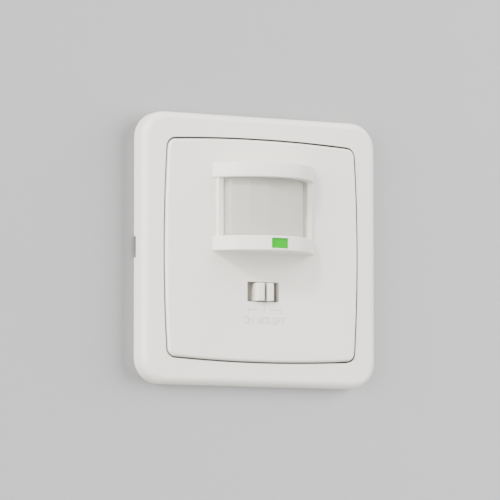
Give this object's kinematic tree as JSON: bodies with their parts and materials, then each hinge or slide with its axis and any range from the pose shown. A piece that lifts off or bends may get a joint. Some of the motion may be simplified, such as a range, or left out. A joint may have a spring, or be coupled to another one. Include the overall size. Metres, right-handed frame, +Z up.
{
  "type": "motion sensor light switch",
  "caption": "Square flush wall switch with a motion sensor: rounded frame, bowed cover, curved sensor head with a milky lens and a green lamp, and a sliding mode knob.",
  "frame": {"origin": "midway between the two slots for the wall box's screws, on the rear face of the support plate (the wall's surface)", "axes": "+X to the right seen from the room, +Y into the wall, +Z up"},
  "size_m": [0.08, 0.0555, 0.08],
  "materials": {
    "shell": "white moulded plastic, satin gloss",
    "inner_plastic": "off-white moulded plastic, matt",
    "lens": "milky polyethylene, fine ring grooves",
    "light_guide": "clear green plastic",
    "steel": "zinc plated",
    "black_plastic": "moulded, matt",
    "circuit_board": "glass fibre board with green lacquer",
    "brass": "bright",
    "dark_glass": "dark infrared filter",
    "photocell_ceramic": "ceramic disc under clear resin",
    "relay_plastic": "moulded blue plastic",
    "film_plastic": "moulded yellow plastic",
    "fuse_lacquer": "green lacquer",
    "terminal_plastic": "moulded green plastic"
  },
  "bodies": {
    "base": {"support_plate": "steel", "front_carrier": "inner_plastic", "carrier_screws": "steel", "rear_housing": "inner_plastic", "sensor_board": "circuit_board", "power_board": "circuit_board", "board_header": "black_plastic", "header_pins": "brass", "pir_can": "steel", "pir_filter": "dark_glass", "photocell": "photocell_ceramic", "status_led": "light_guide", "led_leads": "steel", "control_chip": "black_plastic", "switch_case": "steel", "time_trimmer": "black_plastic", "light_trimmer": "black_plastic", "relay": "relay_plastic", "film_capacitor": "film_plastic", "filter_capacitor": "black_plastic", "varistor": "relay_plastic", "fuse_resistor": "fuse_lacquer", "bridge_rectifier": "black_plastic", "terminal_block": "terminal_plastic", "terminal_clamps": "brass", "terminal_screws": "steel"},
    "frame": {"cover_frame": "shell"},
    "cover": {"centre_cover": "shell", "fresnel_lens": "lens", "lens_retainer": "inner_plastic", "led_window": "light_guide"},
    "slider": {"mode_knob": "shell", "switch_lever": "black_plastic"},
    "time_setting": {"time_adjuster": "inner_plastic"},
    "light_setting": {"light_adjuster": "inner_plastic"}
  },
  "joints": [
    {"name": "frame_pull", "type": "slide", "parent": "base", "child": "frame", "axis": [0, -1, 0], "range_m": [0, 0.03]},
    {"name": "cover_pull", "type": "slide", "parent": "base", "child": "cover", "axis": [0, -1, 0], "range_m": [0, 0.03]},
    {"name": "mode_slide", "type": "slide", "parent": "base", "child": "slider", "axis": [1, 0, 0], "range_m": [-0.002, 0.002]},
    {"name": "time_turn", "type": "hinge", "parent": "base", "child": "time_setting", "pos_m": [-0.01325, 0, -0.011], "axis": [0, -1, 0], "range_deg": [-120, 120]},
    {"name": "light_turn", "type": "hinge", "parent": "base", "child": "light_setting", "pos_m": [0.01325, 0, -0.011], "axis": [0, -1, 0], "range_deg": [-120, 120]}
  ]
}
